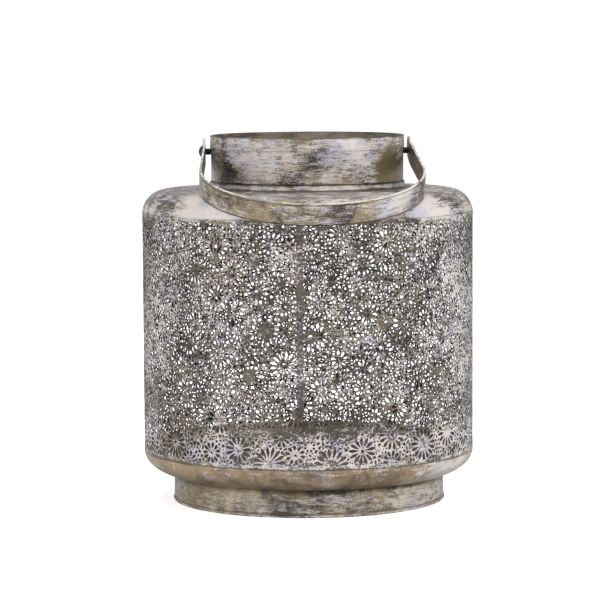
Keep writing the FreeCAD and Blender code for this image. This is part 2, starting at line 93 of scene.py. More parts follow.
# Insides and dark parts, each with its lighter tone
# Painted shade: the lining is darker than its unpainted metal, for the unlit insides of the body
LINING = (0.062, 0.055, 0.045), (0.155, 0.139, 0.114)
STRAP_INSIDE = (0.19, 0.162, 0.125), (0.34, 0.30, 0.245)
PAN_INSIDE = (0.31, 0.28, 0.24), (0.50, 0.46, 0.39)
SHADED = (0.10, 0.084, 0.06), (0.18, 0.152, 0.112)
# Painted shade: the cut edges are nearly black, darker than their own dull skin, to shade the rims
# of the holes
CUT = (0.012, 0.010, 0.008), (0.04, 0.034, 0.026)
IRON = (0.02, 0.019, 0.018), (0.07, 0.062, 0.055)

# Fineness of the brush marks, along and across the brush
ROUND_STROKES, STRAP_STROKES, SLEEVE_STROKES = (50, 400), (45, 480), (230, 330)
BLOTCH_STROKES = (95, 260)
# Dashes are this much finer than the strokes, along and across
DASH_FINENESS = (2.8, 2.3)
# How much each pattern counts where the whitewash holds or wears off
PATCH_SHARE, BLOTCH_SHARE, STREAK_SHARE, DASH_SHARE, SPECKLE_SHARE = 1.0, 1.15, 0.75, 0.9, 0.95
# The sum of the patterns where the metal is half covered, and how softly the whitewash ends
HALF_COVERED, SOFT_FADE, SHARP_FADE = 2.38, 0.64, 0.42
# A place has its whole effect within this share of its reach
PLACE_CORE = 0.25
# Soiling and painted shade are the dark metal's tone times this
SOILING_AND_SHADE_TONE = 0.3


class Finish:
    """A material and short calls that add its nodes."""

    def __init__(self, name):
        self.material = bpy.data.materials.new(name)
        self.material.use_nodes = True
        self.tree = self.material.node_tree
        self.shader = self.tree.nodes["Principled BSDF"]
        self.place = self.add("ShaderNodeTexCoord").outputs["Object"]

    def add(self, kind, **settings):
        """A new node with these settings."""
        node = self.tree.nodes.new(kind)
        for key, value in settings.items():
            setattr(node, key, value)
        return node

    def feed(self, socket, value):
        """Links an output to the socket, or sets the socket to a fixed value."""
        if isinstance(value, bpy.types.NodeSocket):
            self.tree.links.new(value, socket)
        else:
            socket.default_value = value

    def fill(self, node, *values, **named):
        """Feeds a node's inputs in order, or by name with _ for a blank."""
        for socket, value in zip(node.inputs, values):
            self.feed(socket, value)
        for name, value in named.items():
            self.feed(node.inputs[name.replace("_", " ")], value)
        return node

    def scalar(self, operation, first, second):
        """One operation on two numbers."""
        node = self.add("ShaderNodeMath", operation=operation)
        return self.fill(node, first, second).outputs[0]

    def total(self, start, parts):
        """The start plus each part times its share."""
        result = start
        for part, share in parts:
            node = self.add("ShaderNodeMath", operation="MULTIPLY_ADD")
            result = self.fill(node, part, share, result).outputs[0]
        return result

    def vector(self, operation, first, second=(0, 0, 0)):
        """One operation on vectors, which gives a vector or a number."""
        node = self.add("ShaderNodeVectorMath", operation=operation)
        gives_number = operation in ("LENGTH", "DOT_PRODUCT", "DISTANCE")
        return self.fill(node, first, second).outputs["Value" if gives_number else "Vector"]

    def step(self, value, low, high, start=0.0, end=1.0):
        """A soft step of value from low to high, given out as start to end."""
        node = self.add("ShaderNodeMapRange", interpolation_type="SMOOTHSTEP")
        return self.fill(node, value, low, high, start, end).outputs[0]

    def band(self, value, low, high, soft):
        """One between low and high, and nothing outside, with soft ends."""
        rise = self.step(value, low - soft, low + soft)
        fall = self.step(value, high - soft, high + soft, start=1.0, end=0.0)
        return self.scalar("MULTIPLY", rise, fall)

    def noise(self, vector, scale, detail, roughness, warp=0.0):
        """An uneven pattern between zero and one."""
        node = self.add("ShaderNodeTexNoise")
        self.fill(
            node, Vector=vector, Scale=scale, Detail=detail, Roughness=roughness,
            Distortion=warp)
        return node.outputs["Fac"]

    def mix(self, factor, first, second):
        """A colour from the first to the second as the factor grows to one."""
        node = self.fill(self.add("ShaderNodeMix", data_type="RGBA"), factor)
        colours_in = [socket for socket in node.inputs if socket.type == "RGBA"]
        for socket, colour in zip(colours_in, (first, second)):
            self.feed(socket, colour if isinstance(colour, bpy.types.NodeSocket) else (*colour, 1))
        return next(socket for socket in node.outputs if socket.type == "RGBA")

    def bump(self, height, distance, strength):
        """Relief in the surface itself, too fine for the mesh."""
        node = self.add("ShaderNodeBump")
        self.fill(node, Height=height, Distance=distance, Strength=strength)
        self.fill(self.shader, Normal=node.outputs[0])

    def coordinates(self):
        """The place's three coordinates, each by itself."""
        return self.fill(self.add("ShaderNodeSeparateXYZ"), self.place).outputs

    def facing_from(self, centre):
        """Above zero, in metres, where a face looks away from the centre."""
        flat_normal = self.add("ShaderNodeNewGeometry").outputs["True Normal"]
        turned = self.add(
            "ShaderNodeVectorTransform", vector_type="NORMAL", convert_from="WORLD",
            convert_to="OBJECT")
        self.fill(turned, flat_normal)
        offset = self.vector("SUBTRACT", self.place, in_metres(centre))
        return self.vector("DOT_PRODUCT", turned.outputs[0], offset)

    def across_strap(self):
        """Metres from the strap's middle line towards its upper edge."""
        lean = math.radians(STRAP_LEAN_DEG)
        up = self.vector("DOT_PRODUCT", self.place, (0, -math.sin(lean), math.cos(lean)))
        return self.scalar("SUBTRACT", up, PIVOT_HEIGHT * MM * math.cos(lean))

    def across_body(self):
        """Grows up the walls and towards the axis, so that rings round the body share a value."""
        flat = self.vector("MULTIPLY", self.place, (1, 1, 0))
        return self.scalar("SUBTRACT", self.coordinates()[2], self.vector("LENGTH", flat))

    def brushed(self, across, along_scale, across_scale):
        """Coordinates that draw a pattern out along the strokes of the brush."""
        x, y, _ = self.coordinates()
        node = self.fill(
            self.add("ShaderNodeCombineXYZ"),
            self.scalar("MULTIPLY", x, along_scale),
            self.scalar("MULTIPLY", y, along_scale),
            self.scalar("MULTIPLY", across, across_scale))
        return node.outputs[0]


def whitewashed_tin(name, cover, strokes, metals=BRASS, places=(), bands=(), strap=False,
                    lining=None, fade=SOFT_FADE):
    """Brass-toned tin under a thin brushed whitewash that is worn through in patches.

    Cover is how well the whitewash holds, and strokes is the fineness of its brush marks. A
    place is (x, y, z), reach, change of cover, change from brown to gold. A band is low, high,
    softness, change of cover, soiling and painted shade, by height on the body or across the
    strap. Some places and bands raise the cover to paint highlights, and some bands darken to
    paint shade in creases, under edges and between parts. All sizes are in millimetres.
    """
    finish = Finish(name)
    across = finish.across_strap() if strap else finish.across_body()
    height = finish.scalar("MULTIPLY", across if strap else finish.coordinates()[2], 1 / MM)
    dash_strokes = [scale * finer for scale, finer in zip(strokes, DASH_FINENESS)]
    blotch_map, streak_map, dash_map = (
        finish.brushed(across, *scales) for scales in (BLOTCH_STROKES, strokes, dash_strokes))
    patches = finish.noise(finish.place, scale=30, detail=4, roughness=0.65, warp=0.5)
    blotches = finish.noise(blotch_map, scale=1, detail=5, roughness=0.75)
    streaks = finish.noise(streak_map, scale=1, detail=3, roughness=0.6)
    dashes = finish.noise(dash_map, scale=1, detail=2, roughness=0.6)
    speckle = finish.noise(finish.place, scale=700, detail=3, roughness=0.75)
    tint = finish.noise(finish.place, scale=36, detail=5, roughness=0.7, warp=0.8)
    cool = finish.noise(finish.place, scale=46, detail=4, roughness=0.65, warp=0.4)

    total = finish.total(cover, (
        (patches, PATCH_SHARE), (blotches, BLOTCH_SHARE), (streaks, STREAK_SHARE),
        (dashes, DASH_SHARE), (speckle, SPECKLE_SHARE)))
    for centre, reach, change, golden in places:
        away = finish.vector("DISTANCE", finish.place, in_metres(centre))
        inside = finish.step(away, reach * MM, PLACE_CORE * reach * MM)
        total = finish.total(total, [(inside, change)])
        tint = finish.total(tint, [(inside, golden)])
    marks = finish.total(0.0, [(streaks, 0.5), (blotches, 0.5)])
    soiling_and_shade = finish.step(marks, low=0.30, high=0.44, start=0.3, end=0.0)
    # Bands add soiling, and painted shade in creases, under edges and between parts
    for low, high, soft, change, band_soiling_and_shade in bands:
        inside = finish.band(height, low, high, soft)
        total = finish.total(total, [(inside, change)])
        soiling_and_shade = finish.total(soiling_and_shade, [(inside, band_soiling_and_shade)])
    painted = finish.step(total, HALF_COVERED - fade / 2, HALF_COVERED + fade / 2)

    bright, dark = metals
    bare = finish.mix(finish.step(tint, low=0.38, high=0.60), dark, bright)
    wash = finish.mix(finish.step(cool, low=0.46, high=0.62), *PAINT)
    # Soiling and painted shade darken the colour towards a dim share of the dark metal's tone
    broken_soiling_and_shade = finish.total(soiling_and_shade, [(dashes, 0.5)])
    colour = finish.mix(
        finish.step(broken_soiling_and_shade, low=0.2, high=1.15), finish.mix(painted, bare, wash),
        tuple(tone * SOILING_AND_SHADE_TONE for tone in dark))
    if lining:
        outward = finish.facing_from(STRAP_CENTRE if strap else BODY_CENTRE)
        inward = finish.step(outward, low=1 * MM, high=-6 * MM)
        colour = finish.mix(inward, colour, finish.mix(painted, *lining))
    finish.fill(
        finish.shader, Base_Color=colour,
        Roughness=finish.step(painted, low=0.0, high=1.0, start=0.36, end=0.6),
        Metallic=finish.step(painted, low=0.0, high=0.8, start=0.7, end=0.1))
    relief = finish.total(painted, [(dashes, 0.9), (speckle, 0.6)])
    finish.bump(relief, distance=0.13 * MM, strength=0.85)
    return finish.material


def dark_patina(name, tones):
    """Unpainted metal with a dull, nearly black skin, for the lining, cut edges and iron."""
    # For the lining and the cut edges the tones carry painted shade as well as the dull skin
    finish = Finish(name)
    patches = finish.noise(finish.place, scale=60, detail=5, roughness=0.65, warp=0.4)
    speckle = finish.noise(finish.place, scale=700, detail=2, roughness=0.6)
    finish.fill(
        finish.shader, Base_Color=finish.mix(finish.step(patches, low=0.4, high=0.68), *tones),
        Roughness=finish.step(patches, low=0.3, high=0.7, start=0.5, end=0.72),
        Metallic=0.35)
    finish.bump(finish.total(patches, [(speckle, 0.5)]), distance=0.1 * MM, strength=0.6)
    return finish.material


foot_tin = whitewashed_tin(
    "foot_tin", -0.14, ROUND_STROKES, GOLD, lining=SHADED,
    places=(
        ((95, -60, 12), 60, 0.12, 0.08), ((-95, -60, 14), 45, -0.05, 0.1),
        ((-15, -113, 14), 45, -0.04, -0.06)),
    bands=(
        # Painted highlight on the base bead
        (0, FOOT_BEAD_TOP, 0.5, 0.1, 0),
        # Painted shade in the groove above the bead
        (FOOT_BEAD_TOP + 0.3, FOOT_BEAD_TOP + 1.0, 0.4, -0.1, 0.35),
        # Painted shadow of the pan on the top of the foot ring
        (FOOT_TOP - 3, FOOT_TOP + 1, 2.5, -0.3, 0.45)))
pan_tin = whitewashed_tin(
    "pan_tin", -0.34, ROUND_STROKES, WARM_GOLD, lining=PAN_INSIDE,
    places=(
        # The first place paints light on the pan's right side, which faces the key light
        ((110, -80, 36), 62, 0.52, 0.12), ((-5, -140, 41), 40, 0.12, 0)),
    bands=(
        # Painted shade on the pan's underside just above the foot ring
        (FOOT_TOP, FOOT_TOP + 6, 2.5, -0.15, 0.05),
        (SLEEVE_LOW - 8, SLEEVE_LOW - 1.5, 2.0, 0.05, 0),
        (SLEEVE_LOW - 0.7, SLEEVE_LOW + 4, 0.4, -0.1, 0.5)))
shoulder_tin = whitewashed_tin(
    "shoulder_tin", -0.08, ROUND_STROKES, lining=LINING,
    places=(
        ((105, -70, 262), 60, -0.03, 0), ((-115, -80, 255), 30, -0.08, 0.05),
        # Painted highlights: two cream reflections on the shoulder's rounding, left and right of
        # the strap
        ((-92, -104, 251), 44, 0.40, 0), ((96, -102, 252), 34, 0.34, 0),
        ((30, 100, 262), 60, -0.1, 0)),
    bands=(
        (SLEEVE_TOP - 3.5, SLEEVE_TOP + 0.3, 0.3, -0.1, 0.3),
        # Painted highlight along the lower part of the shoulder's rounding
        (SLEEVE_TOP + 1.2, SLEEVE_TOP + 6.0, 1.5, 0.16, -0.05),
        # Painted shade in the crease at the foot of the guard ring
        (SHOULDER_TOP + 1.7, GUARD_FOOT + 0.7, 0.3, -0.2, 0.4),
        # Painted highlight on the side of the guard ring
        (GUARD_FOOT + 1.6, GUARD_TOP - 1.7, 0.5, 0.35, -0.2),
        # Painted shadow line along the top of the guard ring
        (GUARD_TOP - 0.5, GUARD_TOP + 1, 0.3, -0.2, 0.6)))
neck_tin = whitewashed_tin(
    "neck_tin", -0.03, ROUND_STROKES, GOLD, lining=SHADED,
    places=(
        ((-67, -46, 273), 22, -0.24, -0.10), ((-80, -12, 282), 18, 0.2, 0),
        ((67, -47, 282), 28, -0.5, 0.35), ((38, -72, 298), 34, 0.25, 0),
        ((-34, -72, 290), 26, 0.14, 0), ((4, -82, 289), 17, -0.10, -0.15),
        ((-60, -55, 300), 26, 0.2, 0.05)),
    bands=(
        # Painted shade where the neck goes down inside the guard ring
        (GUARD_TOP - 6, GUARD_TOP + 0.9, 0.4, -0.2, 0.6),
        # Painted shade just under the edge of the hem
        (HEM_UNDER - 0.6, HEM_UNDER + 0.1, 0.3, 0, 0.05),
        (RIM - 1.0, RIM + 1, 0.4, -0.2, 0.5)))
strap_tin = whitewashed_tin(
    "strap_tin", -0.17, STRAP_STROKES, GOLD, strap=True, lining=STRAP_INSIDE,
    places=(
        ((-60, -140, 262), 36, -0.06, 0), ((5, -170, 255), 42, 0.10, -0.05),
        ((62, -142, 262), 46, 0.28, 0)),
    bands=(
        # Painted highlight along the strap's upper edge
        (STRAP_HALF_WIDTH - 0.6, STRAP_HALF_WIDTH + 1, 0.3, 0.3, -0.1),
        # A darker line just below that highlight
        (STRAP_HALF_WIDTH - 2.0, STRAP_HALF_WIDTH - 1.1, 0.35, -0.2, 0.35),
        # Painted shadow along the strap's lower edge, where it rests on the body
        (-STRAP_HALF_WIDTH - 1, -STRAP_HALF_WIDTH + 1.1, 0.35, -0.2, 0.6)))
sleeve_tin = whitewashed_tin(
    "sleeve_tin", -0.175, SLEEVE_STROKES, DULL_BRASS, fade=SHARP_FADE,
    places=(
        ((128, -50, 160), 90, 0.24, 0), ((-135, -40, 150), 70, 0.2, 0),
        ((-112, -84, 52), 46, -0.2, 0.12), ((118, -75, 52), 36, 0.06, 0.12),
        ((112, -84, 235), 55, 0.2, 0), ((-118, -75, 232), 45, 0.2, 0)),
    bands=(
        (SLEEVE_LOW, SLEEVE_LOW + 26, 9.0, 0.29, 0),
        (SLEEVE_LOW - 1, SLEEVE_LOW + 0.6, 0.3, -0.1, 0.3),
        (SLEEVE_TOP - 1.0, SLEEVE_TOP + 1, 0.3, 0.1, 0.1)))
seam_tin = whitewashed_tin("seam_tin", 0.2, SLEEVE_STROKES)
sleeve_lining = dark_patina("lining", LINING)
cut_edge = dark_patina("cut_edge", CUT)
iron = dark_patina("black_iron", IRON)

NODE_MATERIALS = {
    "foot_ring": foot_tin, "bottom_pan": pan_tin, "shoulder_cap": shoulder_tin,
    "neck_collar": neck_tin, "bail_handle": strap_tin, "sleeve_seam_strip": seam_tin}


# Pierced sleeve, in millimetres

SLEEVE_LENGTH = 2 * math.pi * BODY_RADIUS
SLEEVE_HEIGHT = SLEEVE_TOP - SLEEVE_LOW
# Thickness of the sheet, and depth of its relief
SHEET, RELIEF = 0.3, 0.2
# Metal without holes along both rims and beside the seam
PLAIN_EDGE, SEAM_MARGIN = 3.2, 1.6
# Webs between a flower's petals, and between the small holes of the ground
WEB, GROUND_WEB = 1.05, 1.26
LEAST_HOLE_AREA = 0.5
# The sheet is drawn on a grid, in upright strips that are joined to a few pieces
STRIPS, STRIP_COLUMNS, PIECES = 24, 122, 6
CELL = SLEEVE_LENGTH / (STRIPS * STRIP_COLUMNS)
# How far the outline of a hole may leave the line that is drawn for it
TOLERANCE = 0.07
# Outline points stay this share of a grid cell away from its corners
CORNER_GAP = 0.02
# Faces that meet at a smaller angle look like one smooth face
SHARP_FROM_DEG = 40

# The ground has one hole to a square of this pitch, between these shares of the square
GROUND_PITCH, GROUND_SEED = 3.35, 5
HOLE_FROM, HOLE_TO = 0.1, 0.9
# Squares beyond the sheet, in all
SPARE_SQUARES = 4

# Smallest and largest radius, spacing as a share of two radii, and tries, from large to small
FLOWER_SIZES = (
    (12.0, 15.5, 1.0, 500), (8.0, 10.8, 0.93, 5200), (5.0, 7.0, 0.9, 12000))
FLOWER_SEED = 11
# A flower is compared with those in its own and the next squares of this size
NEIGHBOUR = 28.0
# Larger flowers lie on smaller ones, with radii shuffled by this much
SHUFFLE = 3
# Cells beyond a flower's radius that its outline may reach
REACH_CELLS = 3
FEWEST_PETALS, PETALS_PER_MM = 8, 1.0
NARROWEST_PETAL, WIDEST_PETAL = 1.5, 2.8
# Where along its length a petal is widest, and the powers that move that place and blunt the tip
WIDEST_AT, PETAL_LEAN, PETAL_BLUNTNESS = 0.63, 1.5, 0.75
# A flower's own metal reaches this far past its radius and past its heart
OUTLINE_WEB = 0.3 * WEB
# Beside a petal it reaches this share of the petal's sector, and this much further
OUTLINE_SWELL, OUTLINE_GROWTH = 1.15, 0.2
# The heart as a share of the radius, plain or with a ring of slots
LEAST_HEART, LARGEST_HEART, RINGED_HEART = 0.22, 0.43, 0.40
# The radius from which a heart may have that ring, and the chance of it
RINGED_FROM, RINGED_CHANCE = 9.5, 0.35
# The slots' middle and half length as shares of the radius, and their half width
SLOT_PLACE, SLOT_REACH, SLOT_HALF_WIDTH = 0.29, 0.07, 0.55
# The hole in the heart's middle as a share of the radius, the least radius for it, and its chance
EYE, EYE_FROM, EYE_CHANCE = 0.11, 6.5, 0.75


def scatter_flowers(chance):
    """Places for flowers of all sizes, the larger ones first, with little or no overlap."""
    near = {}
    flowers = []
    for smallest, largest, spacing, tries in FLOWER_SIZES:
        for _ in range(tries):
            along, up = chance.uniform(0, SLEEVE_LENGTH), chance.uniform(0, SLEEVE_HEIGHT)
            radius = chance.uniform(smallest, largest)
            column, row = int(along // NEIGHBOUR), int(up // NEIGHBOUR)
            others = [
                other for a in (-1, 0, 1) for b in (-1, 0, 1)
                for other in near.get((column + a, row + b), ())]
            if all(math.hypot(along - x, up - y) > spacing * (radius + r) for x, y, r in others):
                near.setdefault((column, row), []).append((along, up, radius))
                flowers.append((along, up, radius))
    return flowers


def petal_shape(outward, aside, root, tip, half_width):
    """Below zero inside a petal, which is widest beyond its middle and has a blunt tip."""
    share = np.clip((outward - root) / (tip - root), 0, 1)
    beyond = np.maximum(root - outward, 0) + np.maximum(outward - tip, 0)
    width = np.maximum(np.sin(np.pi * share ** PETAL_LEAN), 0) ** PETAL_BLUNTNESS
    return aside - half_width * width + beyond


def flower_shape(across, up, radius, turn, kind, eye):
    """Two fields, below zero in the flower's metal and in its whole outline."""
    from_heart = np.hypot(across, up)
    ringed = radius > RINGED_FROM and eye < RINGED_CHANCE
    plain_heart = LEAST_HEART + (LARGEST_HEART - LEAST_HEART) * kind
    heart = (RINGED_HEART if ringed else plain_heart) * radius
    petals = max(FEWEST_PETALS, round(PETALS_PER_MM * radius + 1))
    step = 2 * math.pi / petals
    angle = np.arctan2(up, across) - turn
    angle = angle - step * np.round(angle / step)
    outward, aside = from_heart * np.cos(angle), np.abs(from_heart * np.sin(angle))
    tip = radius - WEB / 2
    widest = (heart + WIDEST_AT * (tip - heart)) * math.tan(step / 2)
    half_width = min(max(widest - WEB / 2, NARROWEST_PETAL / 2), WIDEST_PETAL / 2)
    hole = petal_shape(outward, aside, heart, tip, half_width)
    outline = petal_shape(
        outward, aside, 0, radius + OUTLINE_WEB, widest * OUTLINE_SWELL + OUTLINE_GROWTH)
    outline = np.minimum(outline, from_heart - heart - OUTLINE_WEB)
    metal = np.maximum(outline, -hole)
    if radius > EYE_FROM and eye < EYE_CHANCE:
        metal = np.maximum(metal, EYE * radius - from_heart)
    if ringed:
        ring = np.abs(from_heart - SLOT_PLACE * radius) - SLOT_REACH * radius
        slot = np.maximum(ring, np.abs(angle) * from_heart - SLOT_HALF_WIDTH)
        metal = np.maximum(metal, -slot)
    return metal, outline


def irregular_cells(along, up):
    """Small uneven holes with thin webs between them, for the ground behind the flowers."""
    chance = np.random.default_rng(GROUND_SEED)
    columns = int(SLEEVE_LENGTH / GROUND_PITCH) + SPARE_SQUARES
    rows = int(SLEEVE_HEIGHT / GROUND_PITCH) + SPARE_SQUARES
    jitter = chance.uniform(HOLE_FROM, HOLE_TO, (2, rows, columns))
    spot_along = (np.arange(columns)[None, :] - 1 + jitter[0]) * GROUND_PITCH
    spot_up = (np.arange(rows)[:, None] - 1 + jitter[1]) * GROUND_PITCH
    column = np.floor(along / GROUND_PITCH).astype(int) + 1
    row = np.floor(up / GROUND_PITCH).astype(int) + 1
    nearest = np.full(along.shape, np.inf)
    second = np.full(along.shape, np.inf)
    for a in (-1, 0, 1):
        for b in (-1, 0, 1):
            gap = np.hypot(
                along - spot_along[row + b, column + a], up - spot_up[row + b, column + a])
            second = np.minimum(second, np.maximum(nearest, gap))
            nearest = np.minimum(nearest, gap)
    return (second - nearest) / 2 - GROUND_WEB / 2


def reached_cells(middle, radius):
    """The grid cells that a flower can reach in one direction."""
    first = max(int((middle - radius) / CELL) - REACH_CELLS, 0)
    return slice(first, int((middle + radius) / CELL) + REACH_CELLS + 1)


def draw_sheet():
    """The unrolled sheet as grids: a field below zero in metal, and the depth of its relief."""
    chance = random.Random(FLOWER_SEED)
    columns, rows = round(SLEEVE_LENGTH / CELL) + 1, round(SLEEVE_HEIGHT / CELL) + 1
    along, up = np.meshgrid(np.arange(columns) * CELL, np.arange(rows) * CELL)
    field = irregular_cells(along, up)
    depth = np.full(field.shape, RELIEF)
    flowers = scatter_flowers(chance)
    flowers.sort(key=lambda flower: flower[2] + chance.uniform(-SHUFFLE, SHUFFLE))
    for x, y, radius in flowers:
        turn, kind, eye = chance.uniform(0, 2 * math.pi), chance.random(), chance.random()
        window = reached_cells(y, radius), reached_cells(x, radius)
        metal, outline = flower_shape(along[window] - x, up[window] - y, radius, turn, kind, eye)
        field[window] = np.minimum(np.maximum(field[window], -outline), metal)
        depth[window][outline < 0] = chance.uniform(0, RELIEF)
    edge = np.minimum(up, SLEEVE_HEIGHT - up) - PLAIN_EDGE
    side = np.minimum(along, SLEEVE_LENGTH - along) - SEAM_MARGIN
    depth = depth * np.clip(edge, 0, 1)
    return np.minimum(field, np.minimum(edge, side)), depth


# For each pattern of open corners of a grid cell, the cell sides that the outline of the
# opening leads from and to: bottom, right, top or left. The corners count 1, 2, 4 and 8,
# counter-clockwise from the lower left.
CELL_TURNS = {
    1: ("BL",), 2: ("RB",), 3: ("RL",), 4: ("TR",), 5: ("BL", "TR"), 6: ("TB",), 7: ("TL",),
    8: ("LT",), 9: ("BT",), 10: ("RB", "LT"), 11: ("RT",), 12: ("LR",), 13: ("BR",), 14: ("LB",)}
ALL_OPEN = 15


def trace_holes(field):
    """Every hole as (points, grid column of the points that lie on one, else -1)."""
    rows, columns = field.shape
    count = rows * columns
    opened = field > 0
    pattern = (opened[:-1, :-1] + 2 * opened[:-1, 1:] + 4 * opened[1:, 1:] + 8 * opened[1:, :-1])
    row, column = np.nonzero((pattern > 0) & (pattern < ALL_OPEN))
    pattern = pattern[row, column]
    corner = row * columns + column
    sides = {"B": corner, "T": corner + columns, "L": count + corner, "R": count + corner + 1}
    following = {}
    for code, turns in CELL_TURNS.items():
        chosen = pattern == code
        for first, last in turns:
            following.update(zip(sides[first][chosen].tolist(), sides[last][chosen].tolist()))
    loops = []
    while following:
        start, spot = following.popitem()
        loop = [start]
        while spot != start:
            loop.append(spot)
            spot = following.pop(spot)
        loops.append(np.array(loop))
    return [crossing_points(field, loop) for loop in loops]


def crossing_points(field, loop):
    """Where the field is zero on each grid side of a loop."""
    rows, columns = field.shape
    level = loop < rows * columns
    row, column = np.divmod(np.where(level, loop, loop - rows * columns), columns)
    first = field[row, column]
    last = field[row + ~level, column + level]
    share = np.clip(first / (first - last), CORNER_GAP, 1 - CORNER_GAP)
    points = np.stack(
        [(column + np.where(level, share, 0)) * CELL, (row + np.where(level, 0, share)) * CELL], 1)
    return points, np.where(level, -1, column)


def kept_points(points):
    """Marks the points of an open line that hold its shape within the tolerance."""
    keep = np.zeros(len(points), bool)
    keep[[0, -1]] = True
    runs = [(0, len(points) - 1)]
    while runs:
        first, last = runs.pop()
        if last - first < 2:
            continue
        chord = points[last] - points[first]
        steps = points[first + 1:last] - points[first]
        length = math.hypot(*chord)
        if length > 0:
            away = np.abs(steps[:, 0] * chord[1] - steps[:, 1] * chord[0]) / length
        else:
            away = np.hypot(steps[:, 0], steps[:, 1])
        furthest = int(away.argmax())
        if away[furthest] > TOLERANCE:
            middle = first + 1 + furthest
            keep[middle] = True
            runs += [(first, middle), (middle, last)]
    return keep


def thin_loop(points, columns):
    """The loop with fewer points; those on a strip's border stay, so that strips match."""
    on_border = (columns >= 0) & (columns % STRIP_COLUMNS == 0)
    anchors = np.nonzero(on_border)[0].tolist() or [0]
    if len(anchors) == 1:
        offset = points - points[anchors[0]]
        anchors = sorted(anchors + [int(np.hypot(offset[:, 0], offset[:, 1]).argmax())])
    keep = np.zeros(len(points), bool)
    for first, last in zip(anchors, anchors[1:] + [anchors[0] + len(points)]):
        run = np.arange(first, last + 1) % len(points)
        keep[run[kept_points(points[run])]] = True
    return points[keep], on_border[keep]


def enclosed_area(points):
    """The area inside a loop, above zero where it turns to the left."""
    x, y = points[:, 0], points[:, 1]
    return float(np.sum(x * np.roll(y, -1) - np.roll(x, -1) * y)) / 2


def split_into_strips(loops, width):
    """For each strip the points and the outline edges that lie in it."""
    points, edges = [[] for _ in range(STRIPS)], [[] for _ in range(STRIPS)]
    for loop, on_border in loops:
        borders = np.nonzero(on_border)[0].tolist()
        if borders:
            runs = zip(borders, borders[1:] + [borders[0] + len(loop)])
        else:
            runs = [(0, len(loop))]
        for first, last in runs:
            run = loop[np.arange(first, last + 1) % len(loop)]
            strip = int((run[:, 0].min() + run[:, 0].max()) / 2 / width)
            start = len(points[strip])
            points[strip] += run.tolist()
            edges[strip] += [(start + k, start + k + 1) for k in range(len(run) - 1)]
    return points, edges


def field_between(field, spots):
    """The field's values between its grid points, at spots counted in cells."""
    column, row = spots[..., 0], spots[..., 1]
    i = np.clip(column.astype(int), 0, field.shape[1] - 2)
    j = np.clip(row.astype(int), 0, field.shape[0] - 2)
    a, b = column - i, row - j
    return (
        field[j, i] * (1 - a) * (1 - b) + field[j, i + 1] * a * (1 - b)
        + field[j + 1, i] * (1 - a) * b + field[j + 1, i + 1] * a * b)


# Three points inside a triangle, each as shares of its corners
INNER_POINTS = np.array([[4, 1, 1], [1, 4, 1], [1, 1, 4]]) / 6
# Points nearer than this are one point, and points of a piece keep this many decimals
SAME_POINT, POINT_DECIMALS = 1e-6, 4


def triangulate_strip(points, edges, left, right, field):
    """The metal's triangles between two borders, as corner points."""
    points = list(points)
    margin_steps = round((right - left) / PLAIN_EDGE)
    for k in range(margin_steps + 1):
        x = left + (right - left) * k / margin_steps
        points += [(x, 0.0), (x, SLEEVE_HEIGHT)]
    flat = [Vector(point) for point in points]
    made = delaunay_2d_cdt(flat, edges, [], 0, SAME_POINT, False)
    spots = np.array([tuple(point) for point in made[0]])
    corners = spots[np.array(made[2])]
    samples = np.einsum("st,ntk->nsk", INNER_POINTS, corners) / CELL
    return corners[field_between(field, samples).sum(1) < 0]


def sheet_grid_value(grid, spots):
    """The grid's value next to each spot."""
    row = np.clip(np.rint(spots[:, 1] / CELL).astype(int), 0, grid.shape[0] - 1)
    column = np.clip(np.rint(spots[:, 0] / CELL).astype(int), 0, grid.shape[1] - 1)
    return grid[row, column]


def wrapped(spots, radius):
    """Points of the unrolled sheet on a cylinder, in metres, with the seam at the back."""
    angle = math.pi / 2 + spots[:, 0] / BODY_RADIUS
    return np.stack(
        [radius * np.cos(angle), radius * np.sin(angle), SLEEVE_LOW + spots[:, 1]], 1) * MM


def sleeve_piece(number, corners, depth):
    """One upright part of the sleeve, as thick sheet with cut edges."""
    rounded = np.round(corners.reshape(-1, 2), POINT_DECIMALS)
    spots, index = np.unique(rounded, axis=0, return_inverse=True)
    faces = index.reshape(-1, 3)
    first, second, third = faces.T
    faces = faces[(first != second) & (second != third) & (first != third)]
    a, b, c = spots[faces.T]
    turned = (b[:, 0] - a[:, 0]) * (c[:, 1] - a[:, 1]) < (b[:, 1] - a[:, 1]) * (c[:, 0] - a[:, 0])
    faces[turned] = faces[turned][:, ::-1]
    count = len(spots)
    edges = np.concatenate([faces[:, [0, 1]], faces[:, [1, 2]], faces[:, [2, 0]]])
    forward = edges[:, 0] * count + edges[:, 1]
    backward = edges[:, 1] * count + edges[:, 0]
    rims = edges[~np.isin(forward, backward)]
    sunk = sheet_grid_value(depth, spots)
    outside, inside = wrapped(spots, BODY_RADIUS - sunk), wrapped(spots, BODY_RADIUS - SHEET - sunk)
    walls = np.stack([rims[:, 1], rims[:, 0], rims[:, 0] + count, rims[:, 1] + count], 1)
    polygons = faces.tolist() + (faces[:, ::-1] + count).tolist() + walls.tolist()
    mesh = bpy.data.meshes.new("pierced_sleeve_%d" % number)
    mesh.from_pydata(np.concatenate([outside, inside]).tolist(), [], polygons)
    for material in (sleeve_tin, sleeve_lining, cut_edge):
        mesh.materials.append(material)
    slots = np.repeat([0, 1, 2], [len(faces), len(faces), len(walls)]).astype(np.int32)
    mesh.polygons.foreach_set("material_index", slots)
    mesh.shade_smooth()
    mesh.set_sharp_from_angle(angle=math.radians(SHARP_FROM_DEG))
    add_sheet_map(mesh, spots, faces, rims)
    piece = bpy.data.objects.new(mesh.name, mesh)
    bpy.context.scene.collection.objects.link(piece)
    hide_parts("perforated_sleeve")
    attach(piece, "lantern_body")


